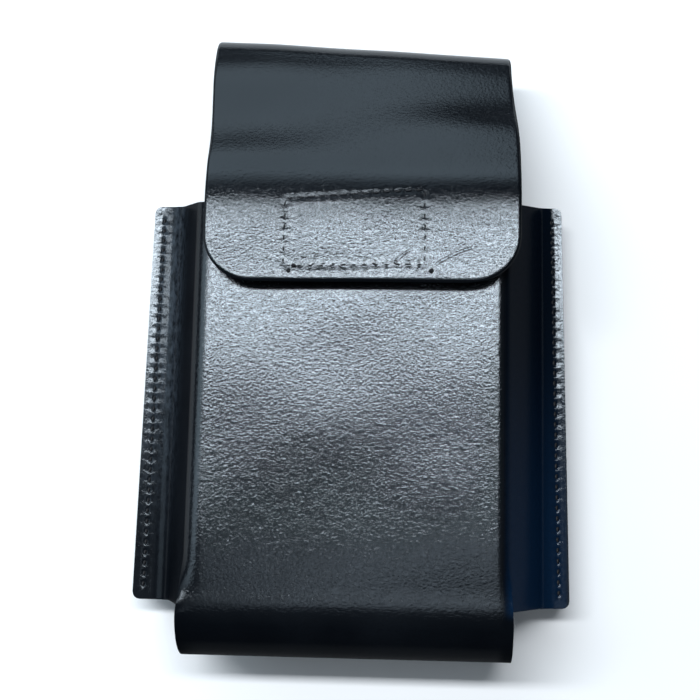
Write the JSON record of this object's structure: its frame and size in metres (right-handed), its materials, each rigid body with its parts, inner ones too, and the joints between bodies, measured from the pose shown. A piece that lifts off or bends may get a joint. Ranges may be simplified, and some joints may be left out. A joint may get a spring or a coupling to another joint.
{
  "type": "belt case for a pocket radio",
  "caption": "Moulded leather belt case for a pocket radio: sewn side flanges, folded foot, long fold-over flap with a hook-and-loop closure, and a belt loop on the back.",
  "frame": {"origin": "on the plane of the belt loop's outer face, under the middle of the case", "axes": "+Z is the outward normal of the front face, +Y runs from the foot to the fold of the flap, +X is to the right"},
  "size_m": [0.1148, 0.1631, 0.04],
  "materials": {
    "leather": "black pebble-grained leather with a satin pigment finish",
    "thread": "bonded black sewing thread",
    "hook_tape": "black woven hook tape",
    "loop_tape": "black brushed loop tape"
  },
  "bodies": {
    "case": {"front_panel": "leather", "back_panel": "leather", "loop_patch": "loop_tape", "belt_loop": "leather", "left_seam_needle_thread": "thread", "left_seam_bobbin_thread": "thread", "right_seam_needle_thread": "thread", "right_seam_bobbin_thread": "thread", "foot_seam_needle_thread": "thread", "foot_seam_bobbin_thread": "thread", "belt_loop_upper_needle_thread": "thread", "belt_loop_upper_bobbin_thread": "thread", "belt_loop_lower_needle_thread": "thread", "belt_loop_lower_bobbin_thread": "thread", "loop_patch_needle_thread": "thread", "loop_patch_bobbin_thread": "thread"},
    "fold_lower": {"flap_bend_lower": "leather"},
    "fold_upper": {"flap_bend_upper": "leather"},
    "flap": {"flap_front": "leather"},
    "tongue": {"flap_tongue": "leather", "hook_patch": "hook_tape", "hook_patch_needle_thread": "thread", "hook_patch_bobbin_thread": "thread"}
  },
  "joints": [
    {"name": "fold_start", "type": "hinge", "parent": "case", "child": "fold_lower", "pos_m": [0, 0.07355, 0.0072], "axis": [-1, 0, 0], "range_deg": [0, 50]},
    {"name": "fold_middle", "type": "hinge", "parent": "fold_lower", "child": "fold_upper", "pos_m": [0, 0.08137, 0.0135], "axis": [-1, 0, 0], "range_deg": [0, 50]},
    {"name": "fold_end", "type": "hinge", "parent": "fold_upper", "child": "flap", "pos_m": [0, 0.07688, 0.02248], "axis": [-1, 0, 0], "range_deg": [0, 50]},
    {"name": "tongue_peel", "type": "hinge", "parent": "flap", "child": "tongue", "pos_m": [0, 0.03855, 0.04], "axis": [-1, 0, 0], "range_deg": [0, 35]}
  ],
  "couplings": [
    {"joint": "fold_middle", "follows": "fold_start", "ratio": 1},
    {"joint": "fold_end", "follows": "fold_start", "ratio": 1}
  ]
}
